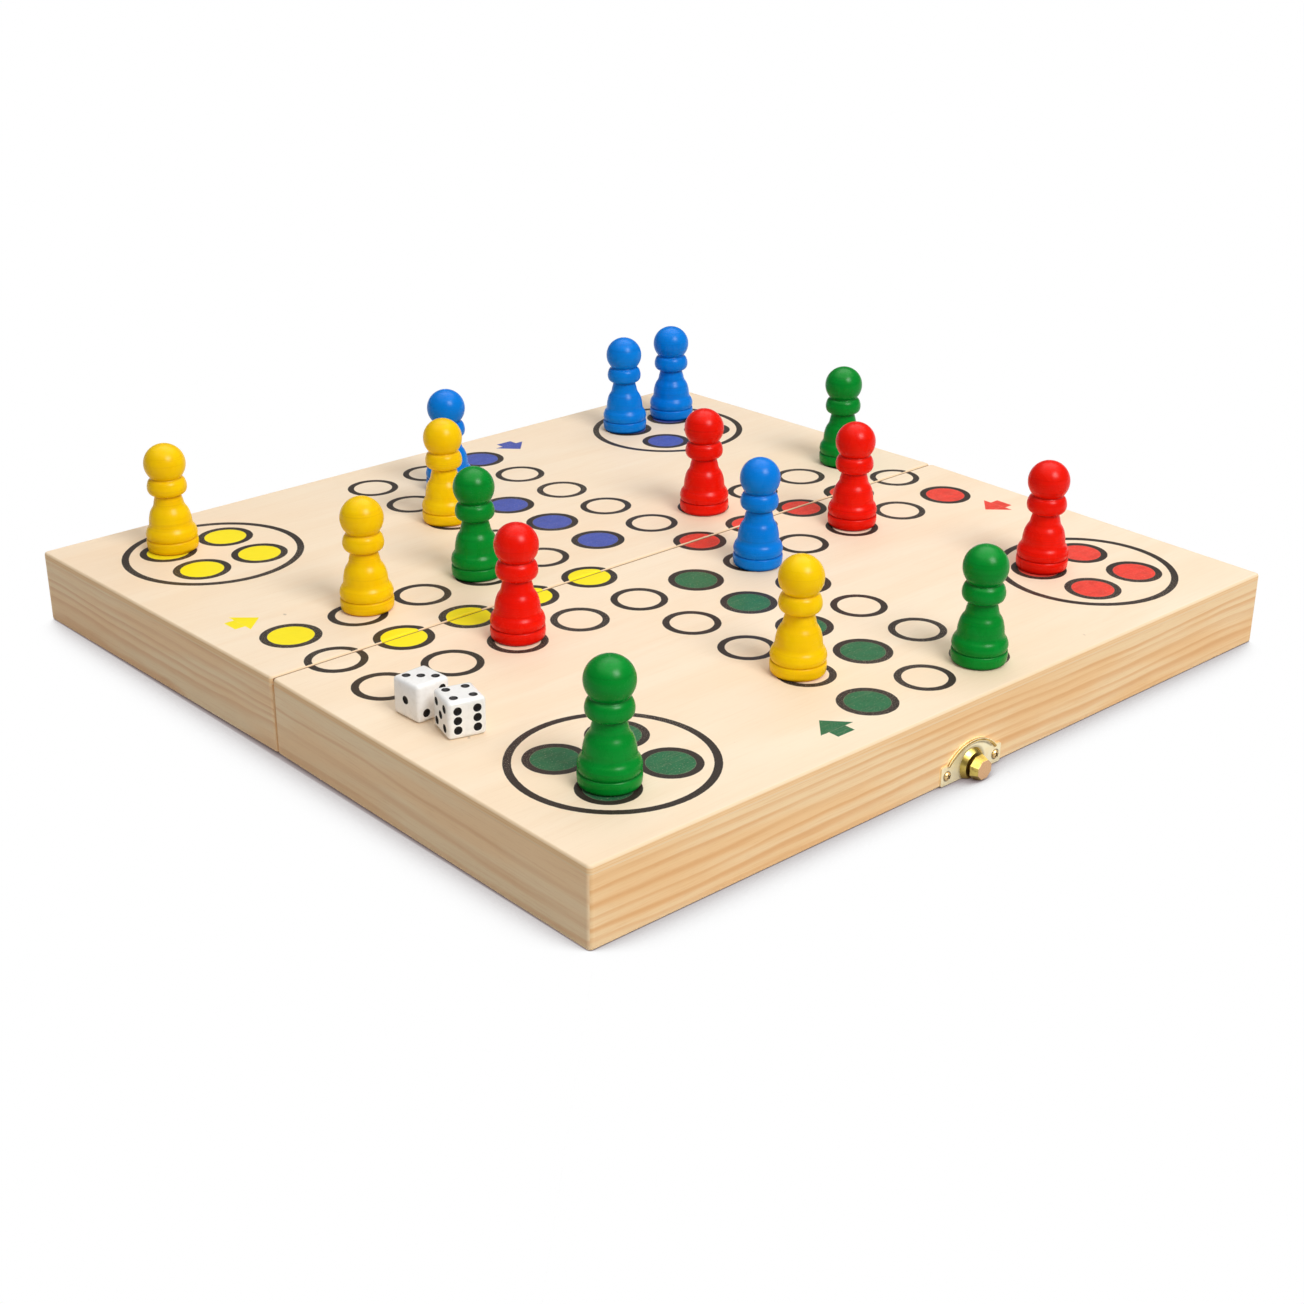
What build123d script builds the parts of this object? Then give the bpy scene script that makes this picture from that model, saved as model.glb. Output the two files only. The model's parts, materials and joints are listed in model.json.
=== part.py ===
from build123d import *

import os
from math import asin, atan, cos, degrees, sin, sqrt

# A folding ludo board box, lying open with its two hollows down, and its pawns and dice on it.
#
# Millimetres. X runs along the hinge line, +Y is the far half and -Y the near half, +Z is up.
# The origin is on the table, under the middle of the hinge line.
#
# Each half is drawn in a frame of its own: x along the hinge line, y from the hinge line out to
# the outer wall, z from the rim, which lies on the table, up to the printed face. The hinge
# knuckles stand a little proud of the rims, so the open board is a very flat tent.

# ---------------------------------------------------------------- the two halves
board_length = 290.0  # along the hinge line
half_width = 143.2  # hinge line to outer wall
half_height = 24.5  # rim to printed face
panel_thickness = 2.5
rail_thickness = 8.0
corner_round = 1.4  # upright corners of rails and panel
panel_round = 0.9  # arris round the printed face
rim_round = 0.8  # outer arris of the rim

# ---------------------------------------------------------------- hinges
hinge_spacing = 190.0  # between the middles of the two hinges
hinge_length = 24.0
leaf_width = 7.0  # hinge line to the leaf's edge
leaf_thickness = 0.8
leaf_corner_round = 0.6
knuckle_radius = 1.9
knuckle_gap = 0.2  # between neighbouring knuckles, and round them
pin_radius = 0.9
pin_clearance = 0.05  # radial
seat_clearance = 0.3  # wood round the knuckles and past the leaf's ends
hinge_screw_spacing = 15.0
hinge_screw_reach = 4.5  # hinge line to the screws
screw_radius = 0.8
screw_head_radius = 1.5
screw_length = 7.0
screw_point = 1.5
screw_slot_width = 0.4
screw_slot_depth = 0.35
hole_clearance = 0.05  # radial, round screws, nails and shanks

# ---------------------------------------------------------------- catch: a plate and two nails on each half
plate_width = 26.4
plate_thickness = 0.6
plate_set_back = 0.3  # rim of the box to the plate's straight edge
ear_height = 6.4  # above the rim of the box
ear_round = 0.7
arch_width = 21.6
arch_height = 11.5  # above the rim of the box
bead_width = 0.9
bead_height = 0.5
nail_spacing = 21.4
nail_height = 3.2  # above the rim of the box
nail_head_radius = 1.3
nail_head_height = 0.6
nail_head_round = 0.45
nail_shank_radius = 0.5
nail_length = 6.0
nail_point = 1.2

# ---------------------------------------------------------------- catch: the near half's grooved knob
knob_height = 3.6  # axis above the rim of the box
boss_foot_radius = 5.2
boss_neck_radius = 4.2
boss_length = 1.5
groove_radius = 2.5
groove_width = 1.1
tip_sides = 8
tip_radius = 4.0  # to the corners, at the groove
tip_end_radius = 3.1
tip_length = 2.5
knob_shank_radius = 1.5
shank_depth = 2.0  # how far the knob's and the rivet's shanks reach past the wall's face

# ---------------------------------------------------------------- catch: the far half's swinging hook
hook_pivot_height = 7.0  # above the rim of the box
hook_thickness = 0.8
hook_eye_radius = 3.2
hook_arm_width = 3.6
hook_lip = 1.5  # metal round the mouth
hook_tab_radius = 1.6
hook_mouth_clearance = 0.3
hook_mouth_sweep = 40.0  # degrees about the rivet that the mouth is cut through
rivet_radius = 1.2
rivet_head_radius = 2.3
rivet_head_height = 0.8
rivet_head_round = 0.5
spacer_radius = 2.4
running_gap = 0.05  # on each face of the hook

# ---------------------------------------------------------------- the printed fields, which pawns stand on
field_pitch = 24.6
middle_field = 5  # columns and rows are numbered from 0
print_shift = 1.5  # the print's middle lies this much nearer than the hinge line
home_margin = 40.1  # outer wall to the middle of a home circle, were the print not shifted
home_spot = 11.0  # middle of a home circle to its four spots, along X and along Y

# ---------------------------------------------------------------- pawns: radii, and heights above the board
pawn_height = 37.0
base_radius = 8.75
base_round = 0.5
base_band_height = 2.3
base_groove_radius = 8.05
base_groove_height = 2.8
skirt_radius = 8.45
skirt_height = 5.2
waist_radius = 7.15
waist_height = 10.3
shoulder_radius = 6.15
shoulder_height = 13.8
neck_radius = 4.5
neck_height = 18.0
collar_foot_radius = 5.9
collar_foot_height = 19.3
collar_radius = 6.45
collar_height = 21.8
collar_top_radius = 5.6
collar_top_height = 25.2
throat_radius = 4.95
head_radius = 6.85

# ---------------------------------------------------------------- dice
die_size = 11.5
die_round = 1.3
pip_radius = 1.05
pip_depth = 0.35
pip_pitch = 2.9

# ---------------------------------------------------------------- worked out from the sizes above
rail_height = half_height - panel_thickness
# The outer arrises of the rims and the undersides of the knuckles all meet the table.
tent_angle = asin(knuckle_radius / (half_width - rim_round))
half_frames = {
    "near": Plane(
        origin=(0, 0, knuckle_radius), x_dir=(-1, 0, 0), z_dir=(0, -sin(tent_angle), cos(tent_angle))
    ),
    "far": Plane(
        origin=(0, 0, knuckle_radius), x_dir=(1, 0, 0), z_dir=(0, sin(tent_angle), cos(tent_angle))
    ),
}
home_reach = half_width - home_margin  # from the print's middle, along X and along Y
along = {"near": -1, "far": 1}  # sign that turns a world X into a half's own x
hinge_places = {"left": -hinge_spacing / 2, "right": hinge_spacing / 2}
nail_places = (-nail_spacing / 2, nail_spacing / 2)
knuckle_pitch = hinge_length / 3
knuckle_places = {"near": (-knuckle_pitch, knuckle_pitch), "far": (0,)}
countersink_angle = 2 * degrees(atan((screw_head_radius - screw_radius) / leaf_thickness))
groove_start = plate_thickness + boss_length  # past the wall's face
hook_start = groove_start + (groove_width - hook_thickness) / 2
hook_end = hook_start + hook_thickness
hook_reach = hook_pivot_height + knob_height  # rivet to knob when the box is closed
mouth_radius = groove_radius + hook_mouth_clearance
LEFT_OR_BOTTOM, MIDDLE, RIGHT_OR_TOP = Align.MIN, Align.CENTER, Align.MAX
UPRIGHT = (MIDDLE, MIDDLE, LEFT_OR_BOTTOM)
HANGING = (MIDDLE, MIDDLE, RIGHT_OR_TOP)

os.makedirs("parts", exist_ok=True)


def save(piece, name):
    """Labels a finished piece and writes it as its own file."""
    piece.part.label = name
    export_step(piece.part, f"parts/{name}.step")


def hinge_line_spot(x):
    """A plane across the hinge pins, facing +X."""
    return Plane(origin=(x, 0, knuckle_radius), x_dir=(0, 1, 0), z_dir=(1, 0, 0))


def rim_spot(side, x, y=0.0):
    """A plane on a half's rim, facing the table, x along the hinge line."""
    frame = half_frames[side]
    spot = frame.from_local_coords(Vector(along[side] * x, y, 0))
    return Plane(origin=spot, x_dir=(1, 0, 0), z_dir=-frame.z_dir)


def wall_spot(side, x=0.0, height=0.0, out=0.0):
    """A plane on a half's outer wall, facing out, its y up from the rim."""
    frame = half_frames[side]
    spot = frame.from_local_coords(Vector(-x, half_width + out, height))
    return Plane(origin=spot, x_dir=-frame.x_dir, z_dir=frame.y_dir)


def board_spot(place, turn=0.0):
    """A plane on the printed face at a place of the board, turned about its upright."""
    side = "far" if place.Y > 0 else "near"
    frame = half_frames[side]
    spot = frame.from_local_coords(Vector(along[side] * place.X, along[side] * place.Y, half_height))
    x_dir = Vector(1, 0, 0).rotate(Axis(spot, frame.z_dir), turn)
    return Plane(origin=spot, x_dir=x_dir, z_dir=frame.z_dir)


# ---------------------------------------------------------------- panels and rails
def make_panel(side):
    frame = half_frames[side]
    with BuildPart() as panel:
        with BuildSketch(frame.offset(rail_height)):
            with Locations((0, half_width / 2)):
                RectangleRounded(board_length, half_width, corner_round)
        extrude(amount=panel_thickness)
        printed_face = panel.faces().sort_by(Axis(frame.origin, frame.z_dir))[-1]
        fillet(printed_face.edges(), radius=panel_round)
    save(panel, f"{side}_panel")


def rail_corners(side):
    """Each rail's two corners of the half, as shares of its size: x from -1 to 1, y from 0 to 1."""
    left = -along[side]
    return {
        "outer_rail": ((-1, 1), (1, 1)),
        "spine_rail": ((1, 0), (-1, 0)),
        "left_rail": ((left, 0), (left, 1)),
        "right_rail": ((-left, 0), (-left, 1)),
    }


def make_rail(side, name, corners):
    """A rail mitred at both ends, with the hollows for the hardware that it carries."""
    frame = half_frames[side]
    outer = [Vector(x * board_length / 2, y * half_width) for x, y in corners]
    inner = [
        Vector(spot.X - x * rail_thickness, spot.Y + (1 - 2 * y) * rail_thickness)
        for spot, (x, y) in zip(outer, corners)
    ]
    with BuildPart() as rail:
        with BuildSketch(frame):
            with Locations((0, half_width / 2)):
                RectangleRounded(board_length, half_width, corner_round)
        extrude(amount=rail_height)
        rim = rail.faces().sort_by(Axis(frame.origin, frame.z_dir))[0]
        fillet(rim.edges(), radius=rim_round)
        with BuildSketch(frame):
            with BuildLine():
                Polyline(*outer, *reversed(inner), close=True)
            make_face()
        extrude(amount=rail_height, mode=Mode.INTERSECT)
        if name == "spine_rail":
            seat_length = hinge_length + 2 * seat_clearance
            with Locations(*[rim_spot(side, x) for x in hinge_places.values()]):
                Box(seat_length, 2 * leaf_width, 2 * leaf_thickness, mode=Mode.SUBTRACT)
            with Locations(*[hinge_line_spot(x) for x in hinge_places.values()]):
                Cylinder(knuckle_radius + seat_clearance, seat_length, mode=Mode.SUBTRACT)
            with Locations(*hinge_screw_spots(side, *hinge_places.values())):
                Cylinder(
                    screw_radius + hole_clearance, screw_length, align=HANGING, mode=Mode.SUBTRACT
                )
        if name == "outer_rail":
            with Locations(*[wall_spot(side, x, nail_height) for x in nail_places]):
                Cylinder(
                    nail_shank_radius + hole_clearance, nail_length, align=HANGING, mode=Mode.SUBTRACT
                )
            shank_radius, shank_height = catch_shank[side]
            with Locations(wall_spot(side, 0, shank_height)):
                Cylinder(
                    shank_radius + hole_clearance, shank_depth, align=HANGING, mode=Mode.SUBTRACT
                )
    save(rail, f"{side}_{name}")


# ---------------------------------------------------------------- hinges
def hinge_screw_spots(side, *leaf_middles):
    """Planes on a half's rim where the screws of these leaves go in."""
    return [
        rim_spot(side, x + shift, hinge_screw_reach)
        for x in leaf_middles
        for shift in (-hinge_screw_spacing / 2, hinge_screw_spacing / 2)
    ]


def make_leaf(side, name, x):
    """A hinge leaf: its plate lies in the rim, and its knuckles go round the pin."""
    frame = half_frames[side]
    other = "far" if side == "near" else "near"
    with BuildPart() as leaf:
        with BuildSketch(frame) as outline:
            with Locations((along[side] * x, leaf_width / 2)):
                Rectangle(hinge_length, leaf_width)
            fillet(outline.vertices().group_by(Axis.Y)[-1], radius=leaf_corner_round)
        extrude(amount=leaf_thickness)
        with Locations(*[hinge_line_spot(x + place) for place in knuckle_places[other]]):
            Cylinder(knuckle_radius + knuckle_gap, knuckle_pitch + knuckle_gap, mode=Mode.SUBTRACT)
        with Locations(*[hinge_line_spot(x + place) for place in knuckle_places[side]]):
            Cylinder(knuckle_radius, knuckle_pitch - knuckle_gap)
        with Locations(hinge_line_spot(x)):
            Cylinder(pin_radius + pin_clearance, hinge_length, mode=Mode.SUBTRACT)
        with Locations(*hinge_screw_spots(side, x)):
            CounterSinkHole(
                screw_radius + hole_clearance,
                screw_head_radius + hole_clearance,
                counter_sink_angle=countersink_angle,
            )
    save(leaf, f"{name}_hinge_{side}_leaf")


def make_pin(name, x):
    with BuildPart() as pin:
        with Locations(hinge_line_spot(x)):
            Cylinder(pin_radius, hinge_length)
    save(pin, f"{name}_hinge_pin")


def make_screws(side):
    """The countersunk screws of both leaves of a half, each a solid of its own."""
    with BuildPart() as screws:
        with Locations(*hinge_screw_spots(side, *hinge_places.values())):
            Cone(screw_radius, screw_head_radius, leaf_thickness, align=HANGING)
            with Locations((0, 0, -leaf_thickness)):
                Cylinder(screw_radius, screw_length - leaf_thickness - screw_point, align=HANGING)
            with Locations((0, 0, screw_point - screw_length)):
                Cone(screw_slot_width / 2, screw_radius, screw_point, align=HANGING)
            Box(2 * screw_head_radius, screw_slot_width, 2 * screw_slot_depth, mode=Mode.SUBTRACT)
    save(screws, f"{side}_hinge_screws")


# ---------------------------------------------------------------- catch
# Radius and height above the rim of the shank that holds each half's catch.
catch_shank = {
    "near": (knob_shank_radius, knob_height),
    "far": (rivet_radius, hook_pivot_height),
}


def make_catch_plate(side):
    """A half-moon plate with two ears and a raised bead along its arch."""
    shank_radius, shank_height = catch_shank[side]
    with BuildPart() as plate:
        with BuildSketch(wall_spot(side)) as outline:
            with Locations((0, plate_set_back)):
                Rectangle(plate_width, ear_height - plate_set_back, align=(MIDDLE, LEFT_OR_BOTTOM))
            fillet(outline.vertices(), radius=ear_round)
            with BuildLine():
                arch = ThreePointArc(
                    (-arch_width / 2, ear_height), (0, arch_height), (arch_width / 2, ear_height)
                )
                Line(arch @ 1, arch @ 0)
            make_face()
        extrude(amount=plate_thickness)
        with BuildSketch(wall_spot(side, out=plate_thickness)):
            with BuildLine():
                outside = ThreePointArc(
                    (-arch_width / 2, ear_height), (0, arch_height), (arch_width / 2, ear_height)
                )
                inside = ThreePointArc(
                    (arch_width / 2 - bead_width, ear_height),
                    (0, arch_height - bead_width),
                    (bead_width - arch_width / 2, ear_height),
                )
                Line(outside @ 1, inside @ 0)
                Line(inside @ 1, outside @ 0)
            make_face()
        extrude(amount=bead_height)
        with Locations(*[wall_spot(side, x, nail_height) for x in nail_places]):
            Cylinder(nail_shank_radius + hole_clearance, 2 * plate_thickness, mode=Mode.SUBTRACT)
        with Locations(wall_spot(side, 0, shank_height)):
            Cylinder(shank_radius + hole_clearance, 2 * plate_thickness, mode=Mode.SUBTRACT)
    save(plate, f"{side}_catch_plate")


def make_nails(side):
    with BuildPart() as nails:
        with Locations(*[wall_spot(side, x, nail_height, plate_thickness) for x in nail_places]):
            Cylinder(nail_head_radius, nail_head_height, align=UPRIGHT)
        outward = Axis(half_frames[side].origin, half_frames[side].y_dir)
        fillet(nails.edges().group_by(outward)[-1], radius=nail_head_round)
        with Locations(*[wall_spot(side, x, nail_height, plate_thickness) for x in nail_places]):
            Cylinder(nail_shank_radius, plate_thickness + nail_length - nail_point, align=HANGING)
        with Locations(*[wall_spot(side, x, nail_height, nail_point - nail_length) for x in nail_places]):
            Cone(nail_shank_radius / 3, nail_shank_radius, nail_point, align=HANGING)
    save(nails, f"{side}_catch_nails")


def make_knob():
    """The near half's knob: a conical boss, a groove for the hook and an eight-sided tip."""
    profile_plane = wall_spot("near", 0, knob_height)
    section = Plane(
        origin=profile_plane.origin, x_dir=profile_plane.x_dir, z_dir=-profile_plane.y_dir
    )
    with BuildPart() as knob:
        with BuildSketch(section):
            with BuildLine():
                Polyline(
                    (0, -shank_depth),
                    (knob_shank_radius, -shank_depth),
                    (knob_shank_radius, plate_thickness),
                    (boss_foot_radius, plate_thickness),
                    (boss_neck_radius, groove_start),
                    (groove_radius, groove_start),
                    (groove_radius, groove_start + groove_width),
                    (0, groove_start + groove_width),
                    close=True,
                )
            make_face()
        revolve(axis=Axis(section.origin, section.y_dir))
        with BuildSketch(wall_spot("near", 0, knob_height, groove_start + groove_width)):
            RegularPolygon(tip_radius, tip_sides, rotation=180 / tip_sides)
        with BuildSketch(wall_spot("near", 0, knob_height, groove_start + groove_width + tip_length)):
            RegularPolygon(tip_end_radius, tip_sides, rotation=180 / tip_sides)
        loft()
        split(bisect_by=above_plate_edge("near"), keep=Keep.TOP)
    save(knob, "catch_knob")


def above_plate_edge(side):
    """A plane along the plate's straight edge, facing the printed face."""
    edge = wall_spot(side, 0, plate_set_back)
    return Plane(origin=edge.origin, x_dir=edge.x_dir, z_dir=edge.y_dir)


def make_hook():
    """The far half's hook, parked along the wall: an eye, an arm and an open mouth."""
    wall = wall_spot("far", 0, hook_pivot_height, hook_start)
    parked = Plane(origin=wall.origin, x_dir=wall.y_dir, z_dir=wall.z_dir)
    mouth_line = CenterArc((0, 0), hook_reach, -90 - hook_mouth_sweep, hook_mouth_sweep)
    with BuildPart() as hook:
        with BuildSketch(parked):
            Circle(hook_eye_radius)
            with Locations((0, -hook_reach / 2)):
                Rectangle(hook_arm_width, hook_reach)
            with Locations((0, -hook_reach)):
                Circle(mouth_radius + hook_lip)
            with Locations((mouth_radius + hook_lip, -hook_reach)):
                Circle(hook_tab_radius)
            SlotArc(mouth_line, 2 * mouth_radius, mode=Mode.SUBTRACT)
            Circle(rivet_radius + pin_clearance, mode=Mode.SUBTRACT)
        extrude(amount=hook_thickness)
    save(hook, "catch_hook")


def make_rivet():
    """The hook's rivet: a shank through wall, plate and hook, a shoulder behind it and a head."""
    with BuildPart() as rivet:
        with Locations(wall_spot("far", 0, hook_pivot_height, hook_end + running_gap)):
            Cylinder(rivet_head_radius, rivet_head_height, align=UPRIGHT)
        outward = Axis(half_frames["far"].origin, half_frames["far"].y_dir)
        fillet(rivet.edges().group_by(outward)[-1], radius=rivet_head_round)
        with Locations(wall_spot("far", 0, hook_pivot_height, hook_end + running_gap)):
            Cylinder(rivet_radius, hook_end + running_gap + shank_depth, align=HANGING)
        with Locations(wall_spot("far", 0, hook_pivot_height, plate_thickness)):
            Cylinder(spacer_radius, hook_start - running_gap - plate_thickness, align=UPRIGHT)
    save(rivet, "hook_rivet")


# ---------------------------------------------------------------- pawns
def field(column, row, nudge_x, nudge_y):
    """A place near a field of the cross, columns from the left and rows from the far side."""
    return Vector(
        (column - middle_field) * field_pitch + nudge_x,
        (middle_field - row) * field_pitch - print_shift + nudge_y,
    )


def home(home_x, home_y, spot_x, spot_y, nudge_x, nudge_y):
    """A place near a spot of a home circle, the circle and the spot given by their signs."""
    return Vector(
        home_x * home_reach + spot_x * home_spot + nudge_x,
        home_y * home_reach + spot_y * home_spot - print_shift + nudge_y,
    )


# Where each pawn stands: its field or home spot, and how far from its middle it was set down.
pawn_places = {
    "yellow_pawn_1": home(-1, 1, -1, 1, 3.5, 3.3),
    "yellow_pawn_2": field(1, 4, 5.2, 2.4),
    "yellow_pawn_3": field(4, 2, -1.3, 2.3),
    "yellow_pawn_4": field(4, 9, -0.8, 3.0),
    "green_pawn_1": field(3, 4, -1.0, 1.8),
    "green_pawn_2": field(10, 4, -1.0, 1.0),
    "green_pawn_3": field(6, 10, -3.4, -2.2),
    "green_pawn_4": home(-1, -1, -1, -1, 1.6, 2.4),
    "red_pawn_1": field(7, 4, -1.7, -2.5),
    "red_pawn_2": field(8, 6, 2.0, 2.4),
    "red_pawn_3": field(2, 6, 1.7, 2.7),
    "red_pawn_4": home(1, -1, -1, 1, 2.4, 1.5),
    "blue_pawn_1": field(5, 1, -3.6, 5.8),
    "blue_pawn_2": field(6, 6, 0.4, -2.6),
    "blue_pawn_3": home(1, 1, -1, 1, -1.5, 0.2),
    "blue_pawn_4": home(1, 1, 1, 1, 1.6, 0.3),
}


def make_pawn(name, place):
    """A turned pawn: a banded base, a skirt with two bulges, a collar and a ball head."""
    spot = board_spot(place)
    section = Plane(origin=spot.origin, x_dir=spot.x_dir, z_dir=-spot.y_dir)
    head_centre = pawn_height - head_radius
    throat_height = head_centre - sqrt(head_radius**2 - throat_radius**2)
    with BuildPart() as pawn:
        with BuildSketch(section):
            with BuildLine():
                Polyline((0, pawn_height), (0, 0), (base_radius - base_round, 0))
                RadiusArc((base_radius - base_round, 0), (base_radius, base_round), -base_round)
                Polyline(
                    (base_radius, base_round),
                    (base_radius, base_band_height),
                    (base_groove_radius, base_groove_height),
                )
                ThreePointArc(
                    (base_groove_radius, base_groove_height),
                    (skirt_radius, skirt_height),
                    (waist_radius, waist_height),
                )
                ThreePointArc(
                    (waist_radius, waist_height),
                    (shoulder_radius, shoulder_height),
                    (neck_radius, neck_height),
                )
                Line((neck_radius, neck_height), (collar_foot_radius, collar_foot_height))
                ThreePointArc(
                    (collar_foot_radius, collar_foot_height),
                    (collar_radius, collar_height),
                    (collar_top_radius, collar_top_height),
                )
                Line((collar_top_radius, collar_top_height), (throat_radius, throat_height))
                ThreePointArc(
                    (throat_radius, throat_height), (head_radius, head_centre), (0, pawn_height)
                )
            make_face()
        revolve(axis=Axis(spot.origin, spot.z_dir))
    save(pawn, name)


# ---------------------------------------------------------------- dice
corner_pips = [(-1, -1), (1, 1), (-1, 1), (1, -1)]
pip_layouts = {
    "one": [(0, 0)],
    "two": corner_pips[:2],
    "three": corner_pips[:2] + [(0, 0)],
    "four": corner_pips,
    "five": corner_pips + [(0, 0)],
    "six": corner_pips + [(-1, 0), (1, 0)],
}
# Opposite faces add up to seven.
opposite = dict(zip(pip_layouts, reversed(pip_layouts)))
# Where each die lies, how it is turned, and its numbers on top, on the left and in front.
dice = {
    "die_1": (Vector(-125.1, -46.9), 2.4, ("three", "one", "two")),
    "die_2": (Vector(-123.4, -62.5), -15.2, ("four", "five", "six")),
}


def make_die(name, place, turn, numbers):
    """A die with rounded edges and sunk pips."""
    spot = board_spot(place, turn)
    middle = spot.origin + spot.z_dir * die_size / 2
    across, ahead, up = spot.x_dir, spot.y_dir, spot.z_dir
    # Each number's face: the way it faces, and the way its pips are turned.
    top, left, front = numbers
    faces = {
        top: (up, ahead),
        left: (-across, up),
        front: (-ahead, across),
        opposite[top]: (-up, across),
        opposite[left]: (across, up),
        opposite[front]: (ahead, across),
    }
    with BuildPart() as die:
        with Locations(spot):
            Box(die_size, die_size, die_size, align=UPRIGHT)
        fillet(die.edges(), radius=die_round)
        for number, (facing, pips_along) in faces.items():
            face = Plane(origin=middle + facing * die_size / 2, x_dir=pips_along, z_dir=facing)
            with BuildSketch(face):
                with Locations(*[(u * pip_pitch, v * pip_pitch) for u, v in pip_layouts[number]]):
                    Circle(pip_radius)
            extrude(amount=-pip_depth, mode=Mode.SUBTRACT)
    save(die, name)


# ---------------------------------------------------------------- everything, half by half
for side in half_frames:
    make_panel(side)
    for rail_name, corners in rail_corners(side).items():
        make_rail(side, rail_name, corners)
    for hinge_name, hinge_x in hinge_places.items():
        make_leaf(side, hinge_name, hinge_x)
    make_screws(side)
    make_catch_plate(side)
    make_nails(side)
for hinge_name, hinge_x in hinge_places.items():
    make_pin(hinge_name, hinge_x)
make_knob()
make_hook()
make_rivet()
for pawn_name, pawn_place in pawn_places.items():
    make_pawn(pawn_name, pawn_place)
for die_name, (die_place, die_turn, die_numbers) in dice.items():
    make_die(die_name, die_place, die_turn, die_numbers)
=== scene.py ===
"""A folding ludo board box, open on a table with its pawns and dice, dressed and lit.

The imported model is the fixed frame: metres, X along the hinge line, the near half with the
catch at -Y, Z up from the table. Its panels, rails and brass stay and get their finishes here.
The pawns, the dice and the nails of the catch are modelled anew and take their nodes' places.
"""
import json
import logging
import math
from dataclasses import dataclass
from enum import Enum
from typing import Any, Iterable, Sequence

import bpy
from mathutils import Matrix, Vector


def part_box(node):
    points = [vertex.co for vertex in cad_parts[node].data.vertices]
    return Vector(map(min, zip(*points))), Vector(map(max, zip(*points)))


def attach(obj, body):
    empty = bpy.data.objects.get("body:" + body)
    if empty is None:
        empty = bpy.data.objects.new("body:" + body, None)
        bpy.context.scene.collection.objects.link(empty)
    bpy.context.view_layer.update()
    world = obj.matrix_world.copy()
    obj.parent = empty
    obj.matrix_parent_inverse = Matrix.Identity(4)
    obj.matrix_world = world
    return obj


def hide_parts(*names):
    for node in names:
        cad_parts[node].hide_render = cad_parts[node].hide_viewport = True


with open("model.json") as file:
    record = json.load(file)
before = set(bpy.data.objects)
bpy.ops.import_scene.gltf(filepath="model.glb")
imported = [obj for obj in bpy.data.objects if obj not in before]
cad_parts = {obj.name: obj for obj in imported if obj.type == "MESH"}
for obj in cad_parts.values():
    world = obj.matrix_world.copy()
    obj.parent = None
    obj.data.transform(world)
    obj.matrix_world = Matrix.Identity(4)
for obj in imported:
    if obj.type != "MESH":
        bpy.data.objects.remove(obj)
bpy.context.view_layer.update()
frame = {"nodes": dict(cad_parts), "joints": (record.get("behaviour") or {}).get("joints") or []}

MM = 0.001

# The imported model's own sizes, in millimetres, that patterns and new pieces are set out by.
HALF_WIDTH = 143.2
HALF_HEIGHT = 24.5
PANEL_THICKNESS = 2.5
RIM_ROUND = 0.8
KNUCKLE_RADIUS = 1.9
TENT_ANGLE = math.asin(KNUCKLE_RADIUS / (HALF_WIDTH - RIM_ROUND))
NAIL_ACROSS = 10.7
NAIL_HEIGHT = 3.2
ARCH_CENTRE = -2.485

log = logging.getLogger("ludo_box")


class Slot(Enum):
    """The names of the record's material slots, for the new pieces."""

    BRASS = "brass"
    YELLOW = "paint_yellow"
    GREEN = "paint_green"
    RED = "paint_red"
    BLUE = "paint_blue"
    DICE = "dice_plastic"


class Grain(Enum):
    """The direction that a piece of wood's fibres run in."""

    ALONG_HINGE = "x"
    ACROSS_HINGE = "y"


Colour = tuple[float, float, float]


def tint(*screen: int) -> Colour:
    """Turns red, green and blue from 0 to 255 into the linear values that shaders take."""
    values = (channel / 255 for channel in screen)
    return tuple(v / 12.92 if v <= 0.04045 else ((v + 0.055) / 1.055) ** 2.4 for v in values)


WHITE: Colour = (1.0, 1.0, 1.0)


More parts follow.
